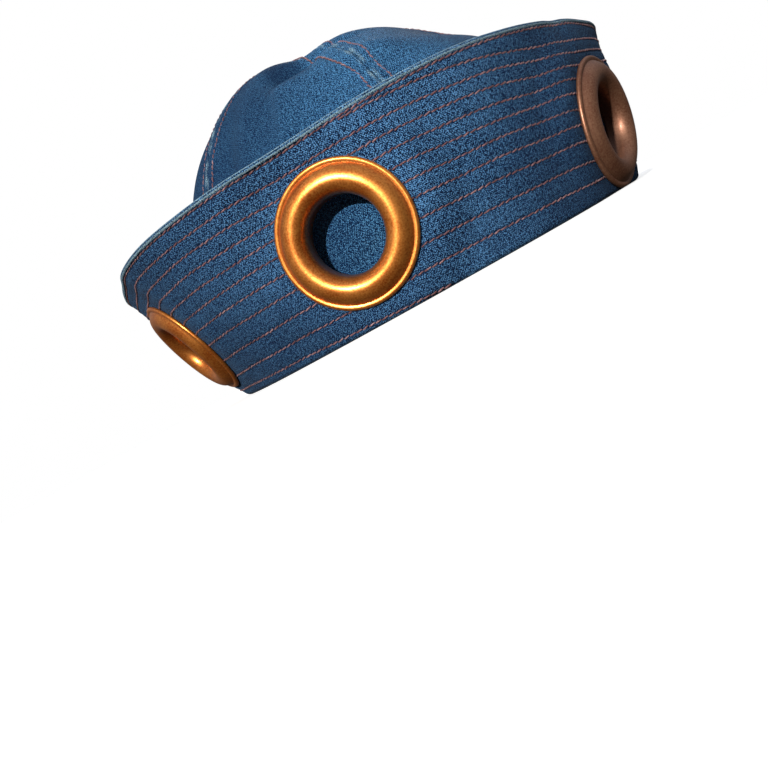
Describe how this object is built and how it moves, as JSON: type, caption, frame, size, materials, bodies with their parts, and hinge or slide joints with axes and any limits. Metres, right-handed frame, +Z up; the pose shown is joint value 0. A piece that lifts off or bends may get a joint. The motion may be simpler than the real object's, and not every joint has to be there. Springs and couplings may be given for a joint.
{
  "type": "sailor hat",
  "caption": "Denim sailor hat with a deep turned-up cuff, rows of topstitching, large copper-coloured eyelets and a soft crown of sewn gores.",
  "frame": {"origin": "middle of the ground that the hat covers, at the level of its fold", "axes": "+Z up, +X to the front of the hat, +Y to its left"},
  "size_m": [0.253, 0.2126, 0.1267],
  "materials": {
    "cuff_denim": "worn indigo denim twill with rust-orange topstitching",
    "facing_denim": "indigo denim twill, faded at the rolled hem",
    "crown_denim": "worn indigo denim twill, faded along the seams",
    "eyelet_copper": "antique copper plating, softly brushed",
    "eyelet_back_metal": "duller copper plating",
    "topstitch_thread": "rust-orange sewing thread"
  },
  "bodies": {
    "root": {"cuff_outer": "cuff_denim", "cuff_facing": "facing_denim", "crown_gore_1": "crown_denim", "crown_gore_2": "crown_denim", "crown_gore_3": "crown_denim", "crown_gore_4": "crown_denim", "crown_gore_5": "crown_denim", "crown_gore_6": "crown_denim", "eyelet_1": "eyelet_copper", "eyelet_2": "eyelet_copper", "eyelet_3": "eyelet_copper", "eyelet_4": "eyelet_copper", "eyelet_5": "eyelet_copper", "eyelet_6": "eyelet_copper", "eyelet_back_1": "eyelet_back_metal", "eyelet_back_2": "eyelet_back_metal", "eyelet_back_3": "eyelet_back_metal", "eyelet_back_4": "eyelet_back_metal", "eyelet_back_5": "eyelet_back_metal", "eyelet_back_6": "eyelet_back_metal"}
  },
  "joints": []
}
